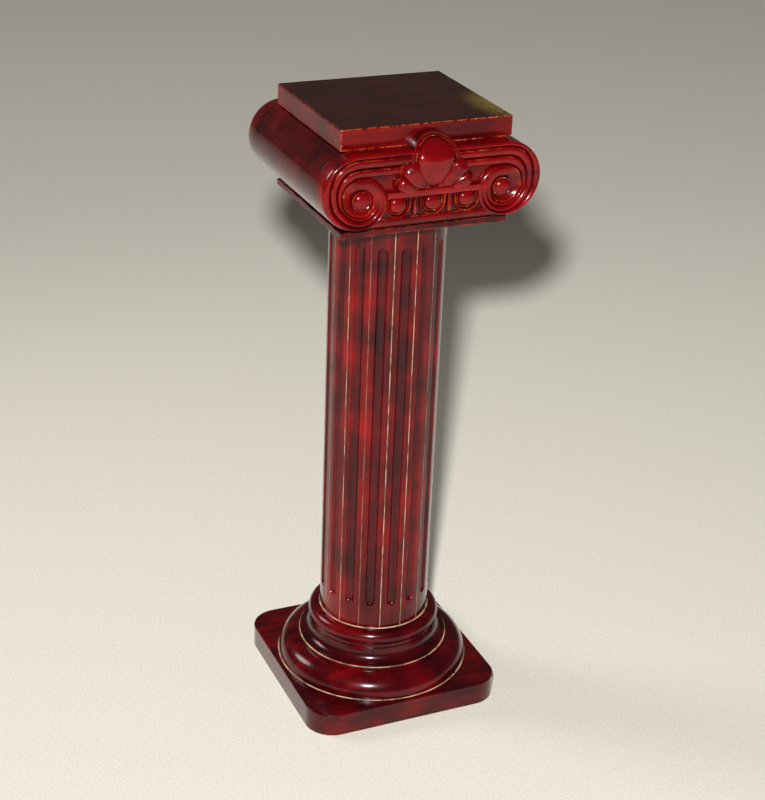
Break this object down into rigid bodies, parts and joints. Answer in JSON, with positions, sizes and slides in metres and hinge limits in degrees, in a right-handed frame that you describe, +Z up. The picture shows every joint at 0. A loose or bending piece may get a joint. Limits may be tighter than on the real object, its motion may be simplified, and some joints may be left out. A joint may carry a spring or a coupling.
{
  "type": "pedestal column stand",
  "caption": "Fluted wooden column on a square plinth with turned base rings and a scroll capital under a flat top board, for holding a plant, bust or vase.",
  "frame": {"origin": "centre of the plinth's underside", "axes": "+Z up along the column, -Y towards the front of the capital, +X to the right of it"},
  "size_m": [0.3138, 0.3048, 0.9144],
  "materials": {
    "plinth_lacquer": "dark red mahogany stain under gloss lacquer",
    "turned_lacquer": "red mahogany stain under gloss lacquer",
    "shaft_lacquer": "red mahogany stain under gloss lacquer, darker in the flutes, pale cracks at the joints",
    "capital_lacquer": "dark red mahogany stain under gloss lacquer",
    "carved_lacquer": "red mahogany stain under gloss lacquer, worn pale on the high edges",
    "top_lacquer": "dark red-brown stained wood grain under worn gloss lacquer",
    "bare_wood": "unfinished softwood, out of sight inside the shaft"
  },
  "bodies": {
    "root": {"abacus": "top_lacquer", "back_egg_band": "carved_lacquer", "back_scroll_panel": "carved_lacquer", "back_shell": "carved_lacquer", "capital_core": "capital_lacquer", "front_egg_band": "carved_lacquer", "front_scroll_panel": "carved_lacquer", "front_shell": "carved_lacquer", "left_bolster": "capital_lacquer", "lower_base_ring": "turned_lacquer", "neck_plate": "capital_lacquer", "plinth": "plinth_lacquer", "right_bolster": "capital_lacquer", "shaft_foot_block": "bare_wood", "shaft_head_block": "bare_wood", "stave_01": "shaft_lacquer", "stave_02": "shaft_lacquer", "stave_03": "shaft_lacquer", "stave_04": "shaft_lacquer", "stave_05": "shaft_lacquer", "stave_06": "shaft_lacquer", "stave_07": "shaft_lacquer", "stave_08": "shaft_lacquer", "stave_09": "shaft_lacquer", "stave_10": "shaft_lacquer", "stave_11": "shaft_lacquer", "stave_12": "shaft_lacquer", "stave_13": "shaft_lacquer", "stave_14": "shaft_lacquer", "stave_15": "shaft_lacquer", "stave_16": "shaft_lacquer", "upper_base_ring": "turned_lacquer"}
  },
  "joints": []
}
